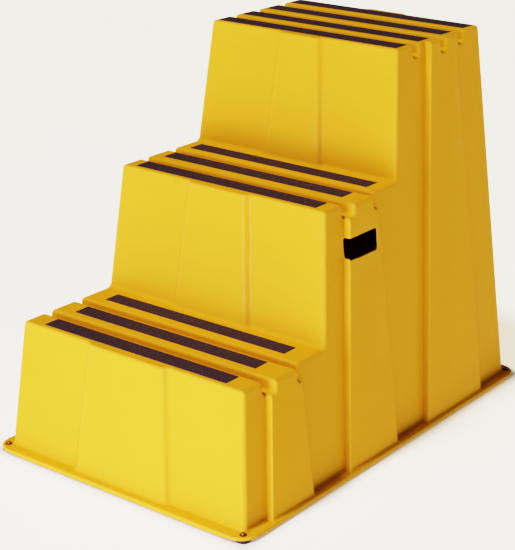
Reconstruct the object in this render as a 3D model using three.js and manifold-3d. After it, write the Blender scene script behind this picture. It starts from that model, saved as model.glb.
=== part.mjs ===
// A three-step mounting block: one thin-walled formed shell with grooved treads, standing on
// four riveted rubber feet, with an anti-slip strip on every tread slat.
// Millimetres, +Z up, +Y towards the back (the steps climb that way), +X across the treads.
// The origin is on the floor, under the middle of the base flange.
import * as THREE from 'three';
import { mergeVertices } from 'three/addons/utils/BufferGeometryUtils.js';
import Module from 'manifold-3d';

const wasm = await Module();
wasm.setup();

// ---- driving dimensions ----
const FLANGE = { width: 594, depth: 926, thickness: 6, cornerRadius: 36 };
const FRONT = -FLANGE.depth / 2;
const FLANGE_BOTTOM = 5;
const FLANGE_TOP = FLANGE_BOTTOM + FLANGE.thickness;
const WALL = 6;
const DRAFT = 0.088;
const BACK_DRAFT = 0.096;
const NOSE_RADIUS = 5;
const VALLEY_RADIUS = 8;
const SIDE_AT_FLOOR = 277;
const BACK_AT_TOP = FRONT + 830;
const RIB = { proud: 9, atFloor: 110 };
const SIDE_PANEL_PROUD = 13;
const GAP = 0.3;
const EPSILON = 1;

const GROOVE = { width: 18, depth: 23, bottomRadius: 6 };
const STRIP = { width: 34, thickness: 1 };
const LOWER_GROOVES = [61.5, 142];

// Each tread: its height, the line of its riser at that height, its grooves and strips measured
// back from that line, and the panel that stands proud of the right side wall below it.
const TREADS = [
  {
    name: 'lower',
    height: 255,
    front: FRONT + 48,
    grooves: LOWER_GROOVES,
    strips: [27.5, 107, 189],
    stripLength: 419,
    panel: { frontTop: FRONT + 108, frontFloor: FRONT + 86.5, backTop: FRONT + 190, backFloor: FRONT + 210 },
  },
  {
    name: 'middle',
    height: 498,
    front: FRONT + 300,
    grooves: LOWER_GROOVES,
    strips: [27.5, 107, 185],
    stripLength: 412,
    panel: { frontTop: FRONT + 357.5, frontFloor: FRONT + 320, backTop: FRONT + 443, backFloor: FRONT + 480 },
  },
  {
    name: 'top',
    height: 737,
    front: FRONT + 544.5,
    grooves: [62, 137, 221],
    strips: [26, 101.5, 180, 260],
    stripLength: 406,
    panel: { frontTop: FRONT + 638, frontFloor: FRONT + 586, backTop: FRONT + 723, backFloor: FRONT + 789 },
  },
];
const TOP_HEIGHT = TREADS[TREADS.length - 1].height;

const HANDHOLD = { low: 399.5, high: 438.5, front: FRONT + 351, back: FRONT + 439.5, inner: 220, outer: 262, radius: 5 };

const FOOT = { fromEdge: 19, radius: 12, chamfer: 0.8, bore: 2.8, pocketRadius: 5.5, pocketDepth: 2.6 };
const WASHER = { radius: 6.5, bore: 2.8, thickness: 1 };
const RIVET = { shank: 2.4, headRadius: 4.8, headHeight: 3.2, bulbRadius: 4.4, bulbHeight: 1.4 };
const ROUND_SEGMENTS = 24;
const CURVE_SEGMENTS = 4;

const COLOURS = {
  shell: { color: 0xe0b21f, roughness: 0.38, metalness: 0 },
  strip: { color: 0x3a2a32, roughness: 0.95, metalness: 0 },
  foot: { color: 0x2a2320, roughness: 0.9, metalness: 0 },
  washer: { color: 0x6b3c12, roughness: 0.5, metalness: 0.8 },
  rivet: { color: 0x9a6428, roughness: 0.4, metalness: 0.9 },
};

// ---- the formed faces, as functions of height ----
const halfWidth = (z) => SIDE_AT_FLOOR - DRAFT * z;
const ribHalfWidth = (z) => RIB.atFloor - DRAFT * z;
const riserAt = (tread, z) => tread.front + DRAFT * (z - tread.height);
const backAt = (z) => BACK_AT_TOP + BACK_DRAFT * (TOP_HEIGHT - z);

// ---- solids ----
function toSolid(geometry) {
  geometry.deleteAttribute('normal');
  geometry.deleteAttribute('uv');
  const merged = mergeVertices(geometry);
  return new wasm.Manifold(new wasm.Mesh({
    numProp: 3,
    vertProperties: new Float32Array(merged.attributes.position.array),
    triVerts: new Uint32Array(merged.index.array),
  }));
}

function toGeometry(solid) {
  const mesh = solid.getMesh();
  const geometry = new THREE.BufferGeometry();
  geometry.setAttribute('position', new THREE.BufferAttribute(mesh.vertProperties, 3));
  geometry.setIndex(new THREE.BufferAttribute(mesh.triVerts, 1));
  return geometry;
}

// A closed outline through the corners, each rounded off by its own radius.
function roundedOutline(corners, radii) {
  const shape = new THREE.Shape();
  corners.forEach((corner, i) => {
    const before = corners[(i + corners.length - 1) % corners.length];
    const after = corners[(i + 1) % corners.length];
    const towardsBefore = before.clone().sub(corner).normalize();
    const towardsAfter = after.clone().sub(corner).normalize();
    const halfAngle = towardsBefore.angleTo(towardsAfter) / 2;
    const cut = radii[i] / Math.tan(halfAngle);
    const enter = corner.clone().addScaledVector(towardsBefore, cut);
    const leave = corner.clone().addScaledVector(towardsAfter, cut);
    if (i === 0) {
      shape.moveTo(enter.x, enter.y);
    } else {
      shape.lineTo(enter.x, enter.y);
    }
    if (radii[i] > 0) {
      shape.quadraticCurveTo(corner.x, corner.y, leave.x, leave.y);
    }
  });
  shape.closePath();
  return shape;
}

// Sweeps an outline drawn in Y (first) and Z (second) across the block, from -reach to +reach in X.
function acrossBlock(shape, reach) {
  const geometry = new THREE.ExtrudeGeometry(shape, {
    depth: 2 * reach,
    bevelEnabled: false,
    curveSegments: CURVE_SEGMENTS,
  });
  geometry.translate(0, 0, -reach);
  geometry.applyMatrix4(new THREE.Matrix4().makeBasis(
    new THREE.Vector3(0, 1, 0),
    new THREE.Vector3(0, 0, 1),
    new THREE.Vector3(1, 0, 0),
  ));
  return toSolid(geometry);
}

// A block between two heights, each of whose four upright faces may lean: they are given as functions of z.
function draftedBlock({ bottom, top, left, right, front, back }) {
  const geometry = new THREE.BoxGeometry(1, 1, 1);
  const position = geometry.attributes.position;
  for (let i = 0; i < position.count; i += 1) {
    const z = position.getZ(i) < 0 ? bottom : top;
    const x = position.getX(i) < 0 ? left(z) : right(z);
    const y = position.getY(i) < 0 ? front(z) : back(z);
    position.setXYZ(i, x, y, z);
  }
  return toSolid(geometry);
}

function plate(width, depth, radius, bottom, thickness) {
  const x = width / 2;
  const y = depth / 2;
  const corners = [[-x, -y], [x, -y], [x, y], [-x, y]].map(([a, b]) => new THREE.Vector2(a, b));
  const geometry = new THREE.ExtrudeGeometry(roundedOutline(corners, corners.map(() => radius)), {
    depth: thickness,
    bevelEnabled: false,
    curveSegments: CURVE_SEGMENTS * 2,
  });
  geometry.translate(0, 0, bottom);
  return toSolid(geometry);
}

// A turned piece about the Z axis, from its outline in radius and height.
function turned(outline) {
  const geometry = new THREE.LatheGeometry(outline.map(([r, z]) => new THREE.Vector2(r, z)), ROUND_SEGMENTS);
  geometry.rotateX(Math.PI / 2);
  return toSolid(geometry);
}

// The side view of the steps. inset moves every face inwards, and proud moves the risers and back out.
function stepProfile(inset, proud, bottom) {
  const shift = inset - proud;
  const corners = [];
  const radii = [];
  const add = (y, z, radius) => {
    corners.push(new THREE.Vector2(y, z));
    radii.push(radius);
  };
  const nose = Math.max(NOSE_RADIUS - inset, 0);
  const valley = VALLEY_RADIUS + inset;
  let floor = bottom;
  TREADS.forEach((tread, i) => {
    const height = tread.height - inset;
    add(riserAt(tread, floor) + shift, floor, i === 0 ? 0 : valley);
    add(riserAt(tread, height) + shift, height, nose);
    floor = height;
  });
  add(backAt(floor) - shift, floor, nose);
  add(backAt(bottom) - shift, bottom, 0);
  return roundedOutline(corners.reverse(), radii.reverse());
}

// The stepped body between two leaning side faces.
function steppedBody(inset, proud, bottom, halfWidthAt) {
  const profile = acrossBlock(stepProfile(inset, proud, bottom), FLANGE.width);
  const between = draftedBlock({
    bottom: bottom - EPSILON,
    top: TOP_HEIGHT + EPSILON,
    left: (z) => -(halfWidthAt(z) - inset),
    right: (z) => halfWidthAt(z) - inset,
    front: () => FRONT - FLANGE.depth,
    back: () => -FRONT + FLANGE.depth,
  });
  return profile.intersect(between);
}

// The panel that stands proud of the right side wall below a tread.
function sidePanel(tread, inset, bottom) {
  const { frontTop, frontFloor, backTop, backFloor } = tread.panel;
  const frontAt = (z) => frontFloor + ((frontTop - frontFloor) * z) / tread.height + inset;
  const backAtHeight = (z) => backFloor + ((backTop - backFloor) * z) / tread.height - inset;
  return draftedBlock({
    bottom,
    top: tread.height - inset,
    left: (z) => halfWidth(z) - 2 * WALL,
    right: (z) => halfWidth(z) + SIDE_PANEL_PROUD - inset,
    front: frontAt,
    back: backAtHeight,
  });
}

// The cutter for one groove: a round-bottomed slot whose lips are rounded over.
function grooveCutter(tread, offset, inset) {
  const centre = tread.front + offset;
  const half = GROOVE.width / 2 + inset;
  const lip = Math.max(NOSE_RADIUS - inset, 0);
  const top = tread.height;
  const bottom = top - GROOVE.depth - inset;
  const bottomRadius = GROOVE.bottomRadius;
  const shape = new THREE.Shape();
  shape.moveTo(centre - half - lip, top + EPSILON);
  shape.lineTo(centre - half - lip, top);
  shape.quadraticCurveTo(centre - half, top, centre - half, top - lip - EPSILON);
  shape.lineTo(centre - half, bottom + bottomRadius);
  shape.quadraticCurveTo(centre - half, bottom, centre - half + bottomRadius, bottom);
  shape.lineTo(centre + half - bottomRadius, bottom);
  shape.quadraticCurveTo(centre + half, bottom, centre + half, bottom + bottomRadius);
  shape.lineTo(centre + half, top - lip - EPSILON);
  shape.quadraticCurveTo(centre + half, top, centre + half + lip, top);
  shape.lineTo(centre + half + lip, top + EPSILON);
  shape.closePath();
  return acrossBlock(shape, FLANGE.width);
}

// The solid that the sheet is formed over (inset = wall) or that its outside bounds (inset = 0).
function formedBody(inset, bottom) {
  let body = steppedBody(inset, 0, bottom, halfWidth).add(steppedBody(inset, RIB.proud, bottom, ribHalfWidth));
  for (const tread of TREADS) {
    body = body.add(sidePanel(tread, inset, bottom));
  }
  for (const tread of TREADS) {
    for (const offset of tread.grooves) {
      body = body.subtract(grooveCutter(tread, offset, inset));
    }
  }
  return body;
}

// One hand hole: a slot through the side of the middle step, rounded at its front corners.
function handholdCutter(side) {
  const { low, high, front, back, inner, outer, radius } = HANDHOLD;
  const corners = [[front, low], [back, low], [back, high], [front, high]];
  const shape = roundedOutline(corners.map(([y, z]) => new THREE.Vector2(y, z)), [radius, 1, 1, radius]);
  const reach = (outer - inner) / 2;
  return acrossBlock(shape, reach).translate(side * (inner + reach), 0, 0);
}

function footCentres() {
  const x = FLANGE.width / 2 - FOOT.fromEdge;
  const y = FLANGE.depth / 2 - FOOT.fromEdge;
  return [
    { name: 'front_left', x: -x, y: -y },
    { name: 'front_right', x, y: -y },
    { name: 'back_left', x: -x, y },
    { name: 'back_right', x, y },
  ];
}

function boreCutter(x, y) {
  const bottom = FLANGE_BOTTOM - EPSILON;
  const top = FLANGE_TOP + EPSILON;
  return turned([[0, bottom], [FOOT.bore, bottom], [FOOT.bore, top], [0, top]]).translate(x, y, 0);
}

function stepShell() {
  const flange = plate(FLANGE.width, FLANGE.depth, FLANGE.cornerRadius, FLANGE_BOTTOM, FLANGE.thickness);
  let shell = formedBody(0, FLANGE_BOTTOM).add(flange).subtract(formedBody(WALL, FLANGE_BOTTOM - EPSILON));
  for (const side of [-1, 1]) {
    shell = shell.subtract(handholdCutter(side));
  }
  for (const { x, y } of footCentres()) {
    shell = shell.subtract(boreCutter(x, y));
  }
  return shell;
}

function rubberFoot() {
  const { radius, chamfer, bore, pocketRadius, pocketDepth } = FOOT;
  const top = FLANGE_BOTTOM - GAP;
  return turned([
    [pocketRadius, 0],
    [radius - chamfer, 0],
    [radius, chamfer],
    [radius, top],
    [bore, top],
    [bore, pocketDepth],
    [pocketRadius, pocketDepth],
    [pocketRadius, 0],
  ]);
}

function footWasher() {
  const bottom = FLANGE_TOP + GAP;
  const top = bottom + WASHER.thickness;
  return turned([
    [WASHER.bore, bottom],
    [WASHER.radius, bottom],
    [WASHER.radius, top],
    [WASHER.bore, top],
    [WASHER.bore, bottom],
  ]);
}

// Domed head above the washer, shank through the flange, clinched bulb in the foot's pocket.
function footRivet() {
  const seat = FLANGE_TOP + GAP + WASHER.thickness + GAP;
  const bulbTop = FOOT.pocketDepth - GAP;
  const bulbBottom = bulbTop - RIVET.bulbHeight;
  const outline = [
    [0, bulbBottom],
    [RIVET.bulbRadius, bulbBottom],
    [RIVET.bulbRadius, bulbTop],
    [RIVET.shank, bulbTop],
    [RIVET.shank, seat],
  ];
  const domeSteps = 5;
  for (let i = 0; i <= domeSteps; i += 1) {
    const angle = (Math.PI / 2) * (i / domeSteps);
    const radius = i === domeSteps ? 0 : RIVET.headRadius * Math.cos(angle);
    outline.push([radius, seat + RIVET.headHeight * Math.sin(angle)]);
  }
  return turned(outline);
}

// ---- assembly ----
const group = new THREE.Group();

function addPiece(name, geometry, colours, x = 0, y = 0, z = 0) {
  const mesh = new THREE.Mesh(geometry, new THREE.MeshStandardMaterial(colours));
  mesh.name = name;
  mesh.position.set(x, y, z);
  group.add(mesh);
}

addPiece('step_shell', toGeometry(stepShell()), COLOURS.shell);

for (const tread of TREADS) {
  tread.strips.forEach((offset, i) => {
    const geometry = new THREE.BoxGeometry(tread.stripLength, STRIP.width, STRIP.thickness);
    const z = tread.height + GAP + STRIP.thickness / 2;
    addPiece(`${tread.name}_grip_strip_${i + 1}`, geometry, COLOURS.strip, 0, tread.front + offset, z);
  });
}

for (const { name, x, y } of footCentres()) {
  addPiece(`foot_${name}`, toGeometry(rubberFoot()), COLOURS.foot, x, y);
  addPiece(`foot_washer_${name}`, toGeometry(footWasher()), COLOURS.washer, x, y);
  addPiece(`foot_rivet_${name}`, toGeometry(footRivet()), COLOURS.rivet, x, y);
}

export default group;
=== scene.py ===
"""A moulded yellow three-step mounting block on rubber feet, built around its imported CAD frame.

The step shell is one thin formed sheet. Its outside is written as a distance field with rounded
edges and fillets, from the same driving dimensions as the CAD shell, and meshed here. The grip
strips, feet, washers and rivets are built from the boxes of their CAD nodes. Units are metres.
"""
import math

import bpy
import numpy as np
from mathutils import Matrix, Vector, noise


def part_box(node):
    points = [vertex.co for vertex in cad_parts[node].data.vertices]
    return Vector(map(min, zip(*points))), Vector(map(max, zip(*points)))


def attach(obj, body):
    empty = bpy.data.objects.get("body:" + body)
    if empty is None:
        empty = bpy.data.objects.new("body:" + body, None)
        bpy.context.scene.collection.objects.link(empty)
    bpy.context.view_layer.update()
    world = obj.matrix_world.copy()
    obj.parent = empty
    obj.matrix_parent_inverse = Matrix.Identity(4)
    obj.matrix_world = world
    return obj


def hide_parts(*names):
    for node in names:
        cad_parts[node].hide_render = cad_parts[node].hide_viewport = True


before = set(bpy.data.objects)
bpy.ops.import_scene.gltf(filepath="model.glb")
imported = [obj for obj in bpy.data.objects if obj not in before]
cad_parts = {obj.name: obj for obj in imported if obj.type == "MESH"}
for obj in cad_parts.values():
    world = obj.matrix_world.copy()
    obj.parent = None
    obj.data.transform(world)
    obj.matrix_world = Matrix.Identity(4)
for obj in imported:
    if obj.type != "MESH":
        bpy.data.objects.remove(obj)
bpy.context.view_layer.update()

BODY = "root"
MM = 0.001

# ---- driving dimensions of the shell, as in the CAD source ----
SHELL_LOW, SHELL_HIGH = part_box("step_shell")
HALF_WIDTH = SHELL_HIGH.x
HALF_DEPTH = SHELL_HIGH.y
FRONT = SHELL_LOW.y
FLANGE_BOTTOM = SHELL_LOW.z
TOP_HEIGHT = SHELL_HIGH.z
WALL = 6 * MM
FLANGE_TOP = FLANGE_BOTTOM + WALL
CORNER_RADIUS = 36 * MM
DRAFT = 0.088
BACK_DRAFT = 0.096
SIDE_AT_FLOOR = 277 * MM
RIB_AT_FLOOR = 106 * MM
RIB_PROUD = 9 * MM
RIB_SLANT = 8 * MM
SIDE_PROUD = 13 * MM
BACK_AT_TOP = FRONT + 830 * MM
GROOVE_HALF_WIDTH = 9 * MM
GROOVE_DEPTH = 23 * MM
CAD_GAP = 0.3 * MM

# Each tread: its name, the line of its riser at tread height, the centres of its grooves behind
# that line, and the front and back edges (at the tread, at the floor) of the panel on its right side.
TREADS = [
    ("lower", 48 * MM, (61.5 * MM, 142 * MM), (108 * MM, 86.5 * MM), (190 * MM, 210 * MM)),
    ("middle", 300 * MM, (61.5 * MM, 142 * MM), (357.5 * MM, 320 * MM), (443 * MM, 480 * MM)),
    ("top", 544.5 * MM, (62 * MM, 137 * MM, 221 * MM), (638 * MM, 586 * MM), (723 * MM, 789 * MM)),
]
HANDHOLD_LOW = (351 * MM, 399.5 * MM)
HANDHOLD_HIGH = (436 * MM, 438.5 * MM)
HANDHOLD_INSIDE = 220 * MM

# ---- radii and small forms of the sheet ----
NOSE_RADIUS = 5 * MM
VALLEY_RADIUS = 8 * MM
SIDE_RADIUS_AT_FLOOR = 8.5 * MM
SIDE_RADIUS_AT_TOP = 5 * MM
RIB_RADIUS = 4 * MM
PANEL_EDGE_RADIUS = 2 * MM
PANEL_ROOT_RADIUS = 1.5 * MM
GROOVE_LIP_RADIUS = 6 * MM
GROOVE_ROOT_RADIUS = 6 * MM
FLANGE_FILLET = 5 * MM
FLANGE_EDGE_RADIUS = 3 * MM
LIP_WIDTH = 5 * MM
LIP_DROP = 1.8 * MM
LIP_CLEARANCE = (18 * MM, 45 * MM)
TRIM_RADIUS = 1 * MM
HANDHOLD_CORNER_RADIUS = 4 * MM
HANDHOLD_WALL = 2.5 * MM
HANDHOLD_RELIEF = 7 * MM
SPOT_FACE_RADIUS = 7.5 * MM

# ---- small hardware ----
SEAT_GAP = 0.02 * MM
RIVET_BORE = 2.8 * MM
TURNED_SEGMENTS = 64
TURNED_CREASE = math.radians(50)

# ---- meshing ----
FINE = 2 * MM
COARSE = 20 * MM
COARSE_UP = 12 * MM
MARGIN = 3 * MM
LEVEL_PAD = 6 * MM
LINE_PAD = 7 * MM
THINNEST_BAND = 0.1 * MM
TILE = 60 * MM
TINY = 1e-12
FLAT_ANGLE = math.radians(0.4)
CREASE_ANGLE = math.radians(40)


def tread_height(name):
    """The tread's top face, just under its first grip strip."""
    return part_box(f"{name}_grip_strip_1")[0].z - CAD_GAP


def node_centre(node):
    """The middle of a CAD node's box."""
    low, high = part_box(node)
    return (low + high) / 2


HEIGHTS = [tread_height(name) for name, *_ in TREADS]
FOOT_CENTRE = node_centre("foot_back_right")
STRIPS = sorted(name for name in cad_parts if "grip_strip" in name)
CORNERS = ["front_left", "front_right", "back_left", "back_right"]


# ---- the distance field ----
def smooth_max(a, b, radius):
    """Both at once, with the edge between them rounded to a radius."""
    u = np.maximum(radius + a, 0)
    v = np.maximum(radius + b, 0)
    return np.minimum(-radius, np.maximum(a, b)) + np.sqrt(u * u + v * v)


def smooth_min(a, b, radius):
    """Either one, with a fillet of a radius in the corner between them."""
    return -smooth_max(-a, -b, radius)


def rounded_rectangle(a, b, half_a, half_b, radius):
    """Distance to a rectangle about the origin with rounded corners."""
    u = np.abs(a) - (half_a - radius)
    v = np.abs(b) - (half_b - radius)
    return np.hypot(np.maximum(u, 0), np.maximum(v, 0)) + np.minimum(np.maximum(u, v), 0) - radius


def add_rib(face, x, z):
    """Adds the broad centre rib with slanted sides to an upright face."""
    beside = np.abs(x) - (RIB_AT_FLOOR - DRAFT * z)
    slope = math.hypot(RIB_PROUD, RIB_SLANT)
    flank = (beside * RIB_PROUD + (face - RIB_PROUD) * RIB_SLANT) / slope
    rib = smooth_max(face - RIB_PROUD, flank, RIB_RADIUS)
    return smooth_min(face, rib, RIB_RADIUS)


def step_field(x, y, z):
    """The stepped body: risers with their centre rib, treads and the back wall."""
    lean = 1 / math.hypot(1, DRAFT)
    back_lean = 1 / math.hypot(1, BACK_DRAFT)
    body = None
    for (_, front, *_), height in zip(TREADS, HEIGHTS):
        riser = (FRONT + front + DRAFT * (z - height) - y) * lean
        step = smooth_max(add_rib(riser, x, z), z - height, NOSE_RADIUS)
        body = step if body is None else smooth_min(body, step, VALLEY_RADIUS)
    back = (y - (BACK_AT_TOP + BACK_DRAFT * (TOP_HEIGHT - z))) * back_lean
    return smooth_max(body, add_rib(back, x, z), NOSE_RADIUS)


def side_field(x, y, z):
    """The side walls. On the right a panel under each tread stands proud of the wall."""
    lean = 1 / math.hypot(1, DRAFT)
    side = (np.abs(x) - (SIDE_AT_FLOOR - DRAFT * z)) * lean
    wall = side
    for (_, _, _, fronts, backs), height in zip(TREADS, HEIGHTS):
        front = FRONT + fronts[1] + (fronts[0] - fronts[1]) * z / height
        back = FRONT + backs[1] + (backs[0] - backs[1]) * z / height
        ends = np.maximum(front - y, y - back) * lean
        panel = smooth_max(side - SIDE_PROUD, ends, PANEL_EDGE_RADIUS)
        wall = smooth_min(wall, panel, PANEL_ROOT_RADIUS)
    return np.where(x > 0, wall, side)


def cut_grooves(body, y, z):
    """Cuts the U grooves between the slats, with rolled-over lips."""
    for (_, front, grooves, *_), height in zip(TREADS, HEIGHTS):
        for offset in grooves:
            across = np.abs(y - (FRONT + front + offset)) - GROOVE_HALF_WIDTH
            groove = smooth_max(across, (height - GROOVE_DEPTH) - z, GROOVE_ROOT_RADIUS)
            body = smooth_max(body, -groove, GROOVE_LIP_RADIUS)
    return body


def plate_field(x, y):
    """Distance to the outline of the base flange."""
    return rounded_rectangle(x, y, HALF_WIDTH, HALF_DEPTH, CORNER_RADIUS)


def foot_distance(x, y):
    """Distance in plan to the centre of the nearest foot."""
    return np.hypot(np.abs(x) - FOOT_CENTRE.x, np.abs(y) - FOOT_CENTRE.y)


def trim_height(x, y):
    """Where the sheet is trimmed below: the edge drops a little between the feet."""
    near, far = LIP_CLEARANCE
    share = np.clip((foot_distance(x, y) - near) / (far - near), 0, 1)
    return FLANGE_BOTTOM - LIP_DROP * share * share * (3 - 2 * share)


def add_flange(body, x, y, z):
    """Adds the base flange with its fillet and rounded edge, and clears a spot for each washer."""
    plate = smooth_max(plate_field(x, y), z - FLANGE_TOP, FLANGE_EDGE_RADIUS)
    body = smooth_min(body, plate, FLANGE_FILLET)
    spot = foot_distance(x, y) - SPOT_FACE_RADIUS
    return smooth_max(body, -smooth_max(spot, FLANGE_TOP - z, TRIM_RADIUS), TRIM_RADIUS)


def handhold_field(x, y, z, growth=0):
    """The slot through each side wall below the middle tread."""
    centre_y = FRONT + (HANDHOLD_LOW[0] + HANDHOLD_HIGH[0]) / 2
    centre_z = (HANDHOLD_LOW[1] + HANDHOLD_HIGH[1]) / 2
    half_y = (HANDHOLD_HIGH[0] - HANDHOLD_LOW[0]) / 2 + growth
    half_z = (HANDHOLD_HIGH[1] - HANDHOLD_LOW[1]) / 2 + growth
    corner = HANDHOLD_CORNER_RADIUS + growth
    slot = rounded_rectangle(y - centre_y, z - centre_z, half_y, half_z, corner)
    return np.maximum(slot, HANDHOLD_INSIDE - np.abs(x))


def shell_field(x, y, z):
    """The formed sheet: below zero inside the plastic."""
    side_radius = SIDE_RADIUS_AT_FLOOR + (SIDE_RADIUS_AT_TOP - SIDE_RADIUS_AT_FLOOR) * z / TOP_HEIGHT
    body = smooth_max(step_field(x, y, z), side_field(x, y, z), side_radius)
    body = cut_grooves(body, y, z)
    body = add_flange(body, x, y, z)
    hollow = np.minimum(body + WALL, np.maximum(plate_field(x, y) + LIP_WIDTH, z - FLANGE_BOTTOM))
    relief = np.maximum(handhold_field(x, y, z, HANDHOLD_RELIEF), body + HANDHOLD_WALL)
    sheet = np.maximum(body, -np.minimum(hollow, relief))
    sheet = smooth_max(sheet, trim_height(x, y) - z, TRIM_RADIUS)
    return smooth_max(sheet, -handhold_field(x, y, z), TRIM_RADIUS)


# ---- meshing the field ----
def level_lines():
    """Grid levels in Z, fine at the flange, the treads and the ends of the handholds."""
    above_tread = 1.7 * LEVEL_PAD
    zones = [(0, FLANGE_TOP + FLANGE_FILLET + WALL)]
    for edge in (HANDHOLD_LOW[1], HANDHOLD_HIGH[1]):
        zones.append((edge - LEVEL_PAD, edge + LEVEL_PAD))
    for height in HEIGHTS:
        zones.append((height - GROOVE_DEPTH - WALL - LEVEL_PAD, height + above_tread))
    levels = [FLANGE_BOTTOM - LIP_DROP - MARGIN]
    while levels[-1] < TOP_HEIGHT + MARGIN:
        here = levels[-1]
        ahead = [start - here for start, _ in zones if start > here]
        inside = any(start <= here < end for start, end in zones)
        step = FINE if inside else min([COARSE_UP] + [max(gap, FINE) for gap in ahead])
        levels.append(here + step)
    return np.array(levels)


def merge_bands(bands):
    """Joins fine bands that touch at any level. A band is its low and high edge at each level."""
    merged = []
    for low, high in sorted(bands, key=lambda band: band[0].mean()):
        if merged and np.any(low < merged[-1][1] + FINE):
            merged[-1] = (np.minimum(merged[-1][0], low), np.maximum(merged[-1][1], high))
        else:
            merged.append((low, high))
    return merged


def leaning_lines(start, end, bands):
    """Grid lines from start to end at each level: fine in the bands, which lean, coarse between."""
    edges = [(start, False)]
    for low, high in merge_bands(bands):
        edges.append((np.clip(low, start, end), False))
        edges.append((np.clip(high, start, end), True))
    edges.append((end, False))
    lines = [start[None]]
    for (before, _), (after, fine) in zip(edges, edges[1:]):
        width = (after - before).max()
        if width < THINNEST_BAND:
            continue
        count = max(1, math.ceil(width / (FINE if fine else COARSE)))
        share = np.arange(1, count + 1)[:, None] / count
        lines.append(before + (after - before) * share)
    return np.concatenate(lines)


def lines_across(zs):
    """Grid lines in X at each level, fine at the rib's flanks and the side walls."""
    still = np.zeros_like(zs)
    rib = RIB_AT_FLOOR - DRAFT * zs
    side = SIDE_AT_FLOOR - DRAFT * zs
    rib_band = (rib - LINE_PAD, rib + RIB_SLANT + LINE_PAD)
    right_bands = [rib_band, (side - WALL - LINE_PAD, side + SIDE_PROUD + LINE_PAD)]
    left_bands = [rib_band, (side - WALL - LINE_PAD, side + LINE_PAD)]
    right = leaning_lines(still, still + HALF_WIDTH + MARGIN, right_bands)
    left = leaning_lines(still, still + HALF_WIDTH + MARGIN, left_bands)
    return np.concatenate([-left[:0:-1], right])


def lines_along(zs):
    """Grid lines in Y at each level, fine at the risers, grooves, panel edges and back wall."""
    still = np.zeros_like(zs)
    reach = GROOVE_HALF_WIDTH + WALL + LINE_PAD
    back = BACK_AT_TOP + BACK_DRAFT * (TOP_HEIGHT - zs)
    bands = [(back - WALL - LINE_PAD, back + RIB_PROUD + LINE_PAD)]
    bands.append((still + FRONT, still + FRONT + LINE_PAD))
    below = 0
    for (_, front, grooves, fronts, backs), height in zip(TREADS, HEIGHTS):
        riser = FRONT + front + DRAFT * (np.clip(zs, below, height) - height)
        bands.append((riser - RIB_PROUD - VALLEY_RADIUS, riser + WALL + LINE_PAD))
        for top, floor in (fronts, backs):
            edge = FRONT + floor + (top - floor) * np.clip(zs, 0, height) / height
            bands.append((edge - LINE_PAD, edge + LINE_PAD))
        for groove in grooves:
            centre = still + FRONT + front + groove
            bands.append((centre - reach, centre + reach))
        below = height
    return leaning_lines(still + FRONT - MARGIN, still + HALF_DEPTH + MARGIN, bands)


def grid_lines():
    """The grid: lines in X and in Y that lean with the walls at each level in Z."""
    zs = level_lines()
    return lines_across(zs), lines_along(zs), zs


def sample(field, xs, ys, zs, slab=24):
    """The field at every grid point, a slab of X at a time to save memory."""
    values = np.empty((len(xs), len(ys), len(zs)), np.float32)
    for i in range(0, len(xs), slab):
        values[i:i + slab] = field(xs[i:i + slab, None, :], ys[None], zs[None, None])
    return values


def net_vertices(values, grid, cells):
    """One vertex per cell that the surface crosses: the mean of its edge crossings."""
    xs, ys, zs = grid
    total = np.zeros((len(cells), 3))
    count = np.zeros(len(cells))

    def place(i, j, k):
        return np.stack([xs[i, k], ys[j, k], zs[k]], 1)

    for corner in [(a, b, c) for a in (0, 1) for b in (0, 1) for c in (0, 1)]:
        for axis in range(3):
            if corner[axis]:
                continue
            other = list(corner)
            other[axis] = 1
            here = tuple((cells + np.array(corner)).T)
            there = tuple((cells + np.array(other)).T)
            a, b = values[here], values[there]
            hit = (a < 0) != (b < 0)
            share = np.where(hit, a / np.where(hit, a - b, 1), 0)[:, None]
            start, end = place(*here), place(*there)
            total += np.where(hit[:, None], start + (end - start) * share, 0)
            count += hit
    return total / count[:, None]


def net_faces(inside, index):
    """One quad around each grid edge that the surface crosses, facing out."""
    faces = []
    shape = inside.shape
    for axis in range(3):
        low = [slice(None)] * 3
        high = [slice(None)] * 3
        low[axis] = slice(0, -1)
        high[axis] = slice(1, None)
        first, second = inside[tuple(low)], inside[tuple(high)]
        u, v = (axis + 1) % 3, (axis + 2) % 3
        edges = np.argwhere(first != second)
        keep = (edges[:, u] > 0) & (edges[:, v] > 0)
        keep &= (edges[:, u] < shape[u] - 1) & (edges[:, v] < shape[v] - 1)
        edges = edges[keep]

        def cell(du, dv):
            place = edges.copy()
            place[:, u] += du
            place[:, v] += dv
            return index[tuple(place.T)]

        quads = np.stack([cell(-1, -1), cell(0, -1), cell(0, 0), cell(-1, 0)], 1)
        inward = ~first[tuple(edges.T)]
        quads[inward] = quads[inward][:, ::-1]
        faces.append(quads)
    return np.concatenate(faces)


def surface_net(field, grid):
    """Vertices and outward quads of the field's zero surface."""
    values = sample(field, *grid)
    inside = values < 0
    corners = np.zeros(tuple(n - 1 for n in values.shape), np.int8)
    for a in (0, 1):
        for b in (0, 1):
            for c in (0, 1):
                corners += inside[a:inside.shape[0] - 1 + a,
                                  b:inside.shape[1] - 1 + b,
                                  c:inside.shape[2] - 1 + c]
    active = (corners > 0) & (corners < 8)
    cells = np.argwhere(active)
    index = np.full(corners.shape, -1, np.int64)
    index[active] = np.arange(len(cells))
    return net_vertices(values, grid, cells), net_faces(inside, index)


def gradient(field, points, step=0.1 * MM):
    """The field's slope at each point, by central differences."""
    slope = np.empty_like(points)
    for axis in range(3):
        shift = np.zeros(3)
        shift[axis] = step
        ahead = field(*(points + shift).T)
        behind = field(*(points - shift).T)
        slope[:, axis] = (ahead - behind) / (2 * step)
    return slope


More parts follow.
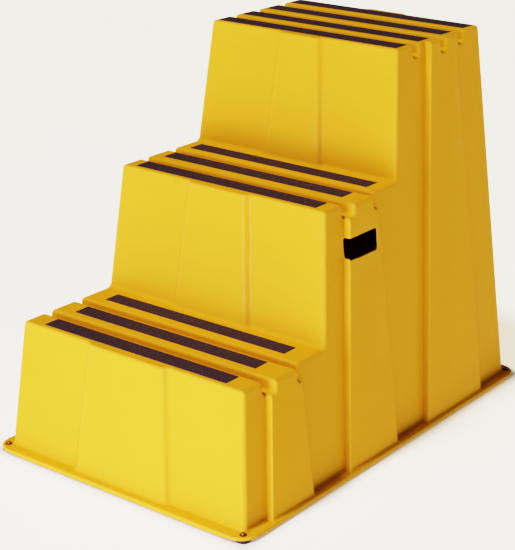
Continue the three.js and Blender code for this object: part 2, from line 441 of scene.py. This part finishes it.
def pull_to_surface(field, points, rounds=4, longest=2 * MM, flattest=0.2):
    """Newton steps that bring the points exactly onto the surface."""
    for _ in range(rounds):
        slope = gradient(field, points)
        square = np.maximum((slope * slope).sum(1), flattest)
        move = (field(*points.T) / square)[:, None] * slope
        length = np.linalg.norm(move, axis=1)[:, None]
        points = points - move * np.minimum(1, longest / np.maximum(length, TINY))
    return points


def mesh_from_arrays(name, vertices, quads):
    """A mesh data block from numpy arrays of vertices and quads."""
    mesh = bpy.data.meshes.new(name)
    mesh.vertices.add(len(vertices))
    mesh.vertices.foreach_set("co", vertices.astype(np.float32).ravel())
    mesh.loops.add(quads.size)
    mesh.loops.foreach_set("vertex_index", quads.astype(np.int32).ravel())
    mesh.polygons.add(len(quads))
    mesh.polygons.foreach_set("loop_start", np.arange(0, quads.size, 4, dtype=np.int32))
    mesh.update(calc_edges=True)
    mesh.validate()
    return mesh


def link(name, mesh):
    """Puts a mesh into the scene as a piece."""
    piece = bpy.data.objects.new(name, mesh)
    bpy.context.scene.collection.objects.link(piece)
    return piece


def chequer(mesh):
    """Gives neighbouring tiles of the mesh different material numbers, as borders for merging."""
    centres = np.empty(len(mesh.polygons) * 3, np.float32)
    mesh.polygons.foreach_get("center", centres)
    tiles = np.floor(centres.reshape(-1, 3) / TILE).astype(np.int32).sum(1) % 2
    mesh.materials.append(None)
    mesh.materials.append(None)
    mesh.polygons.foreach_set("material_index", tiles)


def merge_flats(piece):
    """Joins the quads that lie in one plane within a tile, and keeps the rounded edges as they are."""
    chequer(piece.data)
    dissolve = piece.modifiers.new("flats", "DECIMATE")
    dissolve.decimate_type = "DISSOLVE"
    dissolve.delimit = {"MATERIAL"}
    dissolve.angle_limit = FLAT_ANGLE
    bpy.context.view_layer.update()
    evaluated = piece.evaluated_get(bpy.context.evaluated_depsgraph_get())
    mesh = bpy.data.meshes.new_from_object(evaluated)
    mesh.materials.clear()
    mesh.polygons.foreach_set("material_index", np.zeros(len(mesh.polygons), np.int32))
    piece.modifiers.clear()
    piece.data = mesh


def bend_attribute(field, points, normals, reach=2.5 * MM, steep=0.9):
    """How sharply the surface turns at each point: above zero on outer edges, below in fillets."""
    helper = np.where(np.abs(normals[:, 2:3]) < steep, [[0.0, 0.0, 1.0]], [[1.0, 0.0, 0.0]])
    across = np.cross(normals, helper)
    across /= np.linalg.norm(across, axis=1)[:, None]
    along = np.cross(normals, across)
    bend = np.zeros(len(points))
    for direction in (across, along, -across, -along):
        bend += field(*(points + direction * reach).T)
    return bend / reach


def vertex_places(mesh):
    """The places of a mesh's vertices, as an array."""
    places = np.empty(len(mesh.vertices) * 3, np.float32)
    mesh.vertices.foreach_get("co", places)
    return places.reshape(-1, 3).astype(float)


def shade_from_field(mesh, normals):
    """Smooth shading from the field's own normals, with a crease where a face turns sharply."""
    corners = np.empty(len(mesh.loops), np.int32)
    mesh.loops.foreach_get("vertex_index", corners)
    sizes = np.empty(len(mesh.polygons), np.int32)
    mesh.polygons.foreach_get("loop_total", sizes)
    flat = np.empty(len(mesh.polygons) * 3, np.float32)
    mesh.polygons.foreach_get("normal", flat)
    flat = np.repeat(flat.reshape(-1, 3), sizes, axis=0)
    smooth = normals[corners]
    crease = (smooth * flat).sum(1) < math.cos(CREASE_ANGLE)
    smooth[crease] = flat[crease]
    mesh.shade_smooth()
    mesh.normals_split_custom_set(smooth.tolist())


def build_shell():
    """The moulded step shell."""
    vertices, quads = surface_net(shell_field, grid_lines())
    vertices = pull_to_surface(shell_field, vertices)
    piece = link("moulded_step_shell", mesh_from_arrays("moulded_step_shell", vertices, quads))
    merge_flats(piece)
    mesh = piece.data
    places = vertex_places(mesh)
    normals = gradient(shell_field, places)
    normals /= np.linalg.norm(normals, axis=1)[:, None]
    shade_from_field(mesh, normals)
    bend = mesh.attributes.new("bend", "FLOAT", "POINT")
    bend.data.foreach_set("value", bend_attribute(shell_field, places, normals).astype(np.float32))
    return piece


# ---- turned and flat pieces ----
def turned_piece(name, outline, centre):
    """A piece turned about a vertical line through centre, from (radius, z) points.

    The outline starts and ends on the axis, or else it closes on itself.
    """
    vertices = []
    rings = []
    for radius, z in outline:
        start = len(vertices)
        if radius == 0:
            vertices.append((centre.x, centre.y, z))
            rings.append([start] * TURNED_SEGMENTS)
            continue
        for i in range(TURNED_SEGMENTS):
            angle = 2 * math.pi * i / TURNED_SEGMENTS
            x = centre.x + radius * math.cos(angle)
            y = centre.y + radius * math.sin(angle)
            vertices.append((x, y, z))
        rings.append(list(range(start, start + TURNED_SEGMENTS)))
    if outline[0][0] > 0:
        rings.append(rings[0])
    faces = []
    for lower, upper in zip(rings, rings[1:]):
        for i in range(TURNED_SEGMENTS):
            j = (i + 1) % TURNED_SEGMENTS
            corners = [lower[i], lower[j], upper[j], upper[i]]
            faces.append(list(dict.fromkeys(corners)))
    mesh = bpy.data.meshes.new(name)
    mesh.from_pydata(vertices, [], faces)
    mesh.shade_smooth()
    mesh.set_sharp_from_angle(angle=TURNED_CREASE)
    return link(name, mesh)


def arc(centre_r, centre_z, radius, start, end, steps=5):
    """Points on an arc in the (radius, z) half plane, angles in degrees from +radius."""
    points = []
    for i in range(steps + 1):
        angle = math.radians(start + (end - start) * i / steps)
        r = max(centre_r + radius * math.cos(angle), 0)
        points.append((r, centre_z + radius * math.sin(angle)))
    return points


def build_foot(corner):
    """A turned rubber foot: a waisted disc with a soft lower rim and a pocket for the rivet."""
    node = f"foot_{corner}"
    low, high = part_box(node)
    radius = (high.x - low.x) / 2
    top = FLANGE_BOTTOM
    rim, top_edge, chamfer = 1.1 * MM, 0.7 * MM, 0.3 * MM
    pocket, pocket_top = 5.5 * MM, 2.6 * MM
    waist = radius - 0.5 * MM
    waist_low, waist_high = 2.4 * MM, 3.0 * MM
    outline = [(pocket, low.z + chamfer), (pocket + chamfer, low.z)]
    outline += arc(radius - rim, low.z + rim, rim, -90, 0)
    outline += [(waist, low.z + waist_low), (waist, low.z + waist_high)]
    outline += arc(radius - top_edge, top - top_edge, top_edge, 0, 90, 3)
    outline += [(RIVET_BORE, top), (RIVET_BORE, pocket_top), (pocket, pocket_top)]
    piece = turned_piece(f"rubber_foot_{corner}", outline, node_centre(node))
    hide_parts(node)
    return piece


def build_washer(corner):
    """A dished washer lying on the flange, with rolled edges."""
    node = f"foot_washer_{corner}"
    low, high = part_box(node)
    radius = (high.x - low.x) / 2
    bottom = FLANGE_TOP + SEAT_GAP
    edge = 0.35 * MM
    shoulder, shoulder_drop = radius - 1.3 * MM, 0.25 * MM
    crown = RIVET_BORE + 1.2 * MM
    outline = [(RIVET_BORE, bottom), (radius - edge, bottom)]
    outline += arc(radius - edge, bottom + edge, edge, -90, 60, 4)
    outline += [(shoulder, high.z - shoulder_drop), (crown, high.z), (RIVET_BORE, high.z)]
    piece = turned_piece(f"clinch_washer_{corner}", outline, node_centre(node))
    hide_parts(node)
    return piece


def build_rivet(corner):
    """A dome-headed rivet with a dimple where its pin broke off, clinched inside the foot."""
    node = f"foot_rivet_{corner}"
    low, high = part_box(node)
    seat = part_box(f"foot_washer_{corner}")[1].z
    head_radius = (high.x - low.x) / 2
    undercut = 0.25 * MM
    shank = 2.4 * MM
    bulb_radius, bulb_edge = 4.4 * MM, 0.5 * MM
    bulb_top = low.z + 1.4 * MM
    dome_steps = 8
    dome_start, dome_sweep = 6, 60
    dimple, dimple_lip, dimple_floor = 1.5 * MM, 1.8 * MM, 1.2 * MM
    lip_drop, edge_drop = 0.02 * MM, 0.25 * MM
    floor_drop, centre_drop = 1.1 * MM, 1.0 * MM
    outline = [(0, low.z)]
    outline += arc(bulb_radius - bulb_edge, low.z + bulb_edge, bulb_edge, -90, 0, 4)
    outline += [(bulb_radius, bulb_top), (shank, bulb_top), (shank, seat)]
    outline += [(head_radius - undercut, seat)]
    rise = high.z - seat
    for i in range(dome_steps + 1):
        angle = math.radians(dome_start + dome_sweep * i / dome_steps)
        outline.append((head_radius * math.cos(angle), seat + rise * math.sin(angle)))
    outline += [(dimple_lip, high.z - lip_drop), (dimple, high.z - edge_drop)]
    outline += [(dimple_floor, high.z - floor_drop), (0, high.z - centre_drop)]
    piece = turned_piece(f"dome_rivet_{corner}", outline, node_centre(node))
    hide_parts(node)
    return piece


def slab_faces(columns, rows):
    """The faces of a slab of two grids of vertices, the lower grid first."""
    width = columns + 1
    layer = width * (rows + 1)
    faces = []
    for j in range(rows):
        for i in range(columns):
            a = j * width + i
            faces.append((layer + a, layer + a + 1, layer + a + width + 1, layer + a + width))
            faces.append((a, a + width, a + width + 1, a + 1))
    rim = list(range(columns))
    rim += [columns + j * width for j in range(rows)]
    rim += [rows * width + i for i in range(columns, 0, -1)]
    rim += [j * width for j in range(rows, 0, -1)]
    for a, b in zip(rim, rim[1:] + rim[:1]):
        faces.append((a, b, layer + b, layer + a))
    return faces


def build_strip(node):
    """A die-cut grip strip: a thin slab whose top is roughened by grit and whose cut edge wavers."""
    low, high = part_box(node)
    pitch = 3.0 * MM
    columns = round((high.x - low.x) / pitch)
    rows = round((high.y - low.y) / pitch)
    bottom = low.z - CAD_GAP + SEAT_GAP
    top = high.z - 0.25 * MM
    grit = 0.12 * MM
    waver = 0.18 * MM
    frequency = 900
    elsewhere = Vector((7, 3, 1))
    vertices = []
    for level in (0, 1):
        for j in range(rows + 1):
            for i in range(columns + 1):
                x = low.x + (high.x - low.x) * i / columns
                y = low.y + (high.y - low.y) * j / rows
                place = Vector((x, y, high.z)) * frequency
                if i in (0, columns):
                    x -= math.copysign(waver * abs(noise.noise(place)), x)
                if j in (0, rows):
                    y -= (1 if j else -1) * waver * abs(noise.noise(place + elsewhere))
                z = bottom if level == 0 else top + grit * noise.noise(place)
                vertices.append((x, y, z))
    mesh = bpy.data.meshes.new(node)
    mesh.from_pydata(vertices, [], slab_faces(columns, rows))
    mesh.shade_smooth()
    mesh.set_sharp_from_angle(angle=CREASE_ANGLE)
    piece = link(f"{node}_gritted", mesh)
    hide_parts(node)
    return piece


# ---- colours, in linear red, green and blue, and roughnesses ----
SHELL_DEEP = (0.72, 0.354, 0.019)
SHELL_PALE = (0.74, 0.364, 0.021)
SHELL_STREAK = (0.75, 0.370, 0.022)
# paler colour for the outer edges: wear, and a painted highlight
SHELL_EDGE_WEAR_AND_HIGHLIGHT = (0.80, 0.43, 0.05)
# painted shade: darker colour for the fillets
SHELL_FILLET_SHADE = (0.66, 0.30, 0.016)
# painted shade: near-black colour for the inside of the hand holes
PAINTED_HOLE_SHADE = (0.012, 0.006, 0.008)
TAPE_DARK = (0.030, 0.015, 0.022)
TAPE_LIGHT = (0.060, 0.030, 0.044)
# paler colour of the odd grit grain: partly the grain's own colour, partly a painted glint
TAPE_GRAIN_AND_GLINT = (0.13, 0.10, 0.12)
RUBBER_DARK = (0.018, 0.012, 0.009)
RUBBER_BLOOM = (0.050, 0.036, 0.026)
WASHER_DARK = (0.10, 0.035, 0.006)
WASHER_LIGHT = (0.24, 0.095, 0.02)
RIVET_DARK = (0.22, 0.085, 0.018)
RIVET_LIGHT = (0.46, 0.21, 0.06)
WASHER_ROUGHNESS = 0.42
RIVET_ROUGHNESS = 0.30
TARNISH_ROUGHNESS = 0.22
FLOOR_DARK = (0.86, 0.90, 0.96)
FLOOR_LIGHT = (0.88, 0.92, 0.98)
FLOOR_GLOW_COLOUR = (1, 0.88, 0.62, 1)
FLOOR_GLOW = 1.25
FLOOR_GLOW_FADE = (-10 * MM, 20 * MM)


# ---- materials ----
class Nodes:
    """A short way to write a node tree."""

    def __init__(self, name):
        self.material = bpy.data.materials.new(name)
        self.material.use_nodes = True
        self.tree = self.material.node_tree
        self.shader = self.tree.nodes["Principled BSDF"]
        coordinates = self.tree.nodes.new("ShaderNodeTexCoord")
        self.place = coordinates.outputs["Object"]

    def link(self, source, target):
        self.tree.links.new(source, target)

    def noise(self, scale, detail=2.0, roughness=0.5, stretch=None):
        texture = self.tree.nodes.new("ShaderNodeTexNoise")
        texture.inputs["Scale"].default_value = scale
        texture.inputs["Detail"].default_value = detail
        texture.inputs["Roughness"].default_value = roughness
        self.link(self.stretched(stretch), texture.inputs["Vector"])
        return texture.outputs["Fac"]

    def cells(self, scale, output="Distance"):
        texture = self.tree.nodes.new("ShaderNodeTexVoronoi")
        texture.inputs["Scale"].default_value = scale
        self.link(self.place, texture.inputs["Vector"])
        return texture.outputs[output]

    def stretched(self, stretch):
        """The place, scaled along each axis when a stretch is given."""
        if stretch is None:
            return self.place
        mapping = self.tree.nodes.new("ShaderNodeMapping")
        mapping.inputs["Scale"].default_value = stretch
        self.link(self.place, mapping.inputs["Vector"])
        return mapping.outputs["Vector"]

    def span(self, source, start, end, first=0, last=1):
        """Maps the source's range from start to end onto first to last, held at both ends."""
        node = self.tree.nodes.new("ShaderNodeMapRange")
        node.inputs["From Min"].default_value = start
        node.inputs["From Max"].default_value = end
        node.inputs["To Min"].default_value = first
        node.inputs["To Max"].default_value = last
        self.link(source, node.inputs["Value"])
        return node.outputs["Result"]

    def math(self, operation, a, b):
        node = self.tree.nodes.new("ShaderNodeMath")
        node.operation = operation
        for socket, value in zip(node.inputs, (a, b)):
            if isinstance(value, (int, float)):
                socket.default_value = value
            else:
                self.link(value, socket)
        return node.outputs["Value"]

    def mix(self, factor, a, b):
        """Blends two colours. The Mix node has its colour sockets after those of other types."""
        node = self.tree.nodes.new("ShaderNodeMix")
        node.data_type = "RGBA"
        self.link(factor, node.inputs["Factor"])
        for socket, value in zip((node.inputs[6], node.inputs[7]), (a, b)):
            if isinstance(value, tuple):
                socket.default_value = (*value, 1)
            else:
                self.link(value, socket)
        return node.outputs[2]

    def split(self):
        """The x, y and z of the place."""
        node = self.tree.nodes.new("ShaderNodeSeparateXYZ")
        self.link(self.place, node.inputs["Vector"])
        return node.outputs["X"], node.outputs["Y"], node.outputs["Z"]

    def attribute(self, name):
        node = self.tree.nodes.new("ShaderNodeAttribute")
        node.attribute_name = name
        return node.outputs["Fac"]

    def bump(self, height, distance, strength=1.0, under=None):
        node = self.tree.nodes.new("ShaderNodeBump")
        node.inputs["Distance"].default_value = distance
        node.inputs["Strength"].default_value = strength
        self.link(height, node.inputs["Height"])
        if under is not None:
            self.link(under, node.inputs["Normal"])
        return node.outputs["Normal"]

    def finish(self, colour, roughness, normal, **constants):
        """Wires up the shader, and sets the values that are the same all over the surface."""
        self.link(colour, self.shader.inputs["Base Color"])
        self.link(roughness, self.shader.inputs["Roughness"])
        self.link(normal, self.shader.inputs["Normal"])
        for name, value in constants.items():
            self.shader.inputs[name.replace("_", " ")].default_value = value
        return self.material


def handhold_shade_mask(n):
    """Where the inside of the hand holes is painted dark as shade: one inside the hand holes, below
    the sheet's outer face, and zero elsewhere.
    """
    skin, clear_of_skin = 0.6 * MM, 1.4 * MM
    fade_along, fade_up = 1 * MM, 0.5 * MM
    clear_of_back = 10 * MM
    front = FRONT + HANDHOLD_LOW[0] + fade_along
    back = FRONT + HANDHOLD_HIGH[0] + clear_of_back
    x, y, z = n.split()
    beside = n.math("ADD", n.math("ABSOLUTE", x, 0), n.math("MULTIPLY", z, DRAFT))
    panel = n.math("MULTIPLY", n.math("GREATER_THAN", x, 0), SIDE_PROUD)
    depth = n.math("SUBTRACT", n.math("ADD", panel, SIDE_AT_FLOOR), beside)
    deep = n.span(depth, skin, clear_of_skin)
    behind_front = n.span(y, front, front + fade_along)
    before_back = n.span(y, back, back + fade_along, first=1, last=0)
    above = n.span(z, HANDHOLD_LOW[1] - fade_up, HANDHOLD_LOW[1])
    below = n.span(z, HANDHOLD_HIGH[1], HANDHOLD_HIGH[1] + fade_up, first=1, last=0)
    across = n.math("MULTIPLY", behind_front, before_back)
    upright = n.math("MULTIPLY", above, below)
    return n.math("MULTIPLY", deep, n.math("MULTIPLY", across, upright))


def shell_plastic():
    """Moulded yellow polyethylene: faint mottling, orange peel, light scuffs, paler edges that are
    wear and a painted highlight, and painted shade in the fillets and hand holes.
    """
    n = Nodes("moulded_polyethylene")
    mottle = n.span(n.noise(scale=9, detail=3, roughness=0.55), 0.3, 0.7)
    colour = n.mix(mottle, SHELL_DEEP, SHELL_PALE)
    streaks = n.span(n.noise(scale=60, stretch=(0.15, 1, 1)), 0.4, 0.75, last=0.35)
    colour = n.mix(streaks, colour, SHELL_STREAK)
    bend = n.attribute("bend")
    # Outer edges are painted paler, as wear and as a painted highlight.
    edge_wear_and_highlight = n.span(bend, 0.05, 0.8, last=0.35)
    colour = n.mix(edge_wear_and_highlight, colour, SHELL_EDGE_WEAR_AND_HIGHLIGHT)
    # Painted shade: the fillets are painted darker.
    painted_fillet_shade = n.span(bend, -0.05, -0.8, last=0.25)
    colour = n.mix(painted_fillet_shade, colour, SHELL_FILLET_SHADE)
    # Painted shade: the inside of the hand holes is painted near black.
    colour = n.mix(handhold_shade_mask(n), colour, PAINTED_HOLE_SHADE)
    scratches = n.noise(scale=180, detail=4, roughness=0.7, stretch=(0.06, 1, 0.5))
    scuffs = n.span(scratches, 0.62, 0.75, last=0.08)
    sheen = n.span(n.noise(scale=35, detail=3, roughness=0.6), 0.3, 0.7, first=0.20, last=0.25)
    roughness = n.math("ADD", sheen, scuffs)
    sink = n.bump(n.noise(scale=7, detail=1, roughness=0.4), 0.5 * MM)
    peel = n.bump(n.noise(scale=420), 0.06 * MM, under=sink)
    return n.finish(colour, roughness, peel, IOR=1.5, Specular_IOR_Level=0.025)


def grip_tape():
    """Black-brown mineral grit in resin, with the odd paler, less rough grain whose pale colour is
    partly a painted glint.
    """
    n = Nodes("mineral_grip_tape")
    mottle = n.span(n.noise(scale=300, detail=3, roughness=0.6), 0.3, 0.7)
    colour = n.mix(mottle, TAPE_DARK, TAPE_LIGHT)
    # The odd grain is paler, partly its own colour and partly a painted glint; it is also less rough.
    grain_and_glint = n.span(n.cells(scale=520, output="Color"), 0.80, 0.95, last=0.5)
    colour = n.mix(grain_and_glint, colour, TAPE_GRAIN_AND_GLINT)
    roughness = n.span(grain_and_glint, 0, 0.5, first=0.92, last=0.5)
    normal = n.bump(n.cells(scale=900), 0.5 * MM, strength=0.9)
    return n.finish(colour, roughness, normal, IOR=1.45)


def foot_rubber():
    """Dull dark rubber with a dusty bloom."""
    n = Nodes("dark_rubber")
    bloom = n.span(n.noise(scale=260, detail=4, roughness=0.65), 0.4, 0.75)
    colour = n.mix(bloom, RUBBER_DARK, RUBBER_BLOOM)
    roughness = n.span(n.noise(scale=500), 0.3, 0.7, first=0.7, last=0.9)
    normal = n.bump(n.noise(scale=1500, detail=3, roughness=0.6), 0.2 * MM)
    return n.finish(colour, roughness, normal, IOR=1.5)


def tarnished_metal(name, dark, light, clean_roughness):
    """Brown plated metal, mottled by tarnish, and rougher where it is dark."""
    n = Nodes(name)
    clean = n.span(n.noise(scale=700, detail=5, roughness=0.65), 0.35, 0.68)
    colour = n.mix(clean, dark, light)
    roughness = n.span(clean, 0, 1, first=clean_roughness + TARNISH_ROUGHNESS, last=clean_roughness)
    normal = n.bump(n.noise(scale=2600, detail=3, roughness=0.6), 0.08 * MM)
    return n.finish(colour, roughness, normal, Metallic=0.9)


def floor_white():
    """A pale floor that glows a little, like a lit sweep, except under the block itself."""
    n = Nodes("studio_floor")
    colour = n.mix(n.noise(scale=3), FLOOR_DARK, FLOOR_LIGHT)
    roughness = n.span(n.noise(scale=40), 0.3, 0.7, first=0.85, last=0.95)
    x, y, _ = n.split()
    beyond_x = n.math("SUBTRACT", n.math("ABSOLUTE", x, 0), HALF_WIDTH)
    beyond_y = n.math("SUBTRACT", n.math("ABSOLUTE", y, 0), HALF_DEPTH)
    beyond = n.math("MAXIMUM", beyond_x, beyond_y)
    glow = n.span(beyond, *FLOOR_GLOW_FADE, last=FLOOR_GLOW)
    n.link(glow, n.shader.inputs["Emission Strength"])
    normal = n.bump(n.noise(scale=300), 0.05 * MM)
    return n.finish(colour, roughness, normal, Emission_Color=FLOOR_GLOW_COLOUR)


def dress(piece, material):
    """Gives a piece its material and its body."""
    piece.data.materials.clear()
    piece.data.materials.append(material)
    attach(piece, BODY)


# ---- camera, lights and floor ----
AZIMUTH = math.radians(37.37)
ELEVATION = math.radians(20.16)
ROLL = math.radians(0.48)
DISTANCE = 3.053
TARGET = Vector((-0.003, -0.0426, 0.2947))
SENSOR = 36
FOCAL_LENGTH = 105.28
SURROUND_STRENGTH = 0.1
LAMP_AZIMUTH = -18
LAMP_ELEVATION = 62
LAMP_STRENGTH = 3.3
LAMP_ANGLE = 9
LAMP_COLOUR = (1.08, 0.98, 0.86)
SOFT_BOX_PLACE = (0.15, -2.0, 0.15)
SOFT_BOX_SIZE = 0.7
SOFT_BOX_POWER = 36
SOFT_BOX_COLOUR = (0.98, 1.05, 2.3)
FLOOR_HALF_SIZE = 30
TONE_POWER = 1.5
TONE_MIDDLE = 0.45
TONE_WHITE = 3
TONE_STOPS = (0.008, 0.016, 0.03, 0.06, 0.1, 0.16, 0.24, 0.36, 0.52, 0.75)


def place_camera():
    """A long lens at the height and angle of a person standing in front and to the right."""
    back = Vector((math.sin(AZIMUTH) * math.cos(ELEVATION),
                   -math.cos(AZIMUTH) * math.cos(ELEVATION),
                   math.sin(ELEVATION)))
    level = Vector((math.cos(AZIMUTH), math.sin(AZIMUTH), 0))
    upright = back.cross(level)
    right = level * math.cos(ROLL) + upright * math.sin(ROLL)
    up = back.cross(right)
    data = bpy.data.cameras.new("camera")
    data.lens = FOCAL_LENGTH
    data.sensor_width = SENSOR
    camera = bpy.data.objects.new("camera", data)
    turn = Matrix((right, up, back)).transposed().to_4x4()
    camera.matrix_world = Matrix.Translation(TARGET + back * DISTANCE) @ turn
    bpy.context.scene.collection.objects.link(camera)
    bpy.context.scene.camera = camera


def add_sun(name, azimuth, elevation, strength, angle, colour):
    """A distant soft light. Azimuth 0 shines from the front, 90 from the right."""
    data = bpy.data.lights.new(name, "SUN")
    data.energy = strength
    data.angle = math.radians(angle)
    data.color = colour
    light = bpy.data.objects.new(name, data)
    a, e = math.radians(azimuth), math.radians(elevation)
    towards = Vector((math.sin(a) * math.cos(e), -math.cos(a) * math.cos(e), math.sin(e)))
    light.rotation_euler = towards.to_track_quat("Z", "Y").to_euler()
    bpy.context.scene.collection.objects.link(light)


def add_panel(name, place, size, power, colour):
    """A square soft box that faces the foot of the block."""
    data = bpy.data.lights.new(name, "AREA")
    data.energy = power
    data.color = colour
    data.size = size
    light = bpy.data.objects.new(name, data)
    light.location = place
    light.rotation_euler = Vector(place).to_track_quat("Z", "Y").to_euler()
    bpy.context.scene.collection.objects.link(light)


def light_studio():
    """A dim even surround, a warm high lamp and a cool soft box low in front of the risers."""
    world = bpy.data.worlds.new("studio")
    world.use_nodes = True
    background = world.node_tree.nodes["Background"]
    background.inputs["Color"].default_value = (1.0, 1.0, 1.0, 1)
    background.inputs["Strength"].default_value = SURROUND_STRENGTH
    bpy.context.scene.world = world
    add_sun("lamp", LAMP_AZIMUTH, LAMP_ELEVATION, LAMP_STRENGTH, LAMP_ANGLE, LAMP_COLOUR)
    add_panel("soft_box", SOFT_BOX_PLACE, SOFT_BOX_SIZE, SOFT_BOX_POWER, SOFT_BOX_COLOUR)


def set_tone():
    """A print-like contrast curve: output = input^TONE_POWER / (input^TONE_POWER + TONE_MIDDLE)."""
    view = bpy.context.scene.view_settings
    view.view_transform = "Standard"
    view.use_curve_mapping = True
    mapping = view.curve_mapping
    mapping.white_level = (TONE_WHITE, TONE_WHITE, TONE_WHITE)
    combined = mapping.curves[3]
    for share in TONE_STOPS:
        lifted = (share * TONE_WHITE) ** TONE_POWER
        combined.points.new(share, lifted / (lifted + TONE_MIDDLE))
    last = TONE_WHITE ** TONE_POWER
    combined.points[len(combined.points) - 1].location = (1, last / (last + TONE_MIDDLE))
    mapping.update()


def build_floor():
    """A wide square floor under the feet."""
    size = FLOOR_HALF_SIZE
    mesh = bpy.data.meshes.new("floor")
    corners = [(-size, -size, 0), (size, -size, 0), (size, size, 0), (-size, size, 0)]
    mesh.from_pydata(corners, [], [(0, 1, 2, 3)])
    floor = link("floor", mesh)
    mesh.materials.append(floor_white())


# ---- assembly ----
set_tone()
place_camera()
light_studio()
build_floor()

shell = build_shell()
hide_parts("step_shell")
dress(shell, shell_plastic())

tape = grip_tape()
for strip_node in STRIPS:
    dress(build_strip(strip_node), tape)

rubber = foot_rubber()
washer_metal = tarnished_metal("tarnished_washer", WASHER_DARK, WASHER_LIGHT, WASHER_ROUGHNESS)
rivet_metal = tarnished_metal("tarnished_rivet", RIVET_DARK, RIVET_LIGHT, RIVET_ROUGHNESS)
for corner in CORNERS:
    dress(build_foot(corner), rubber)
    dress(build_washer(corner), washer_metal)
    dress(build_rivet(corner), rivet_metal)
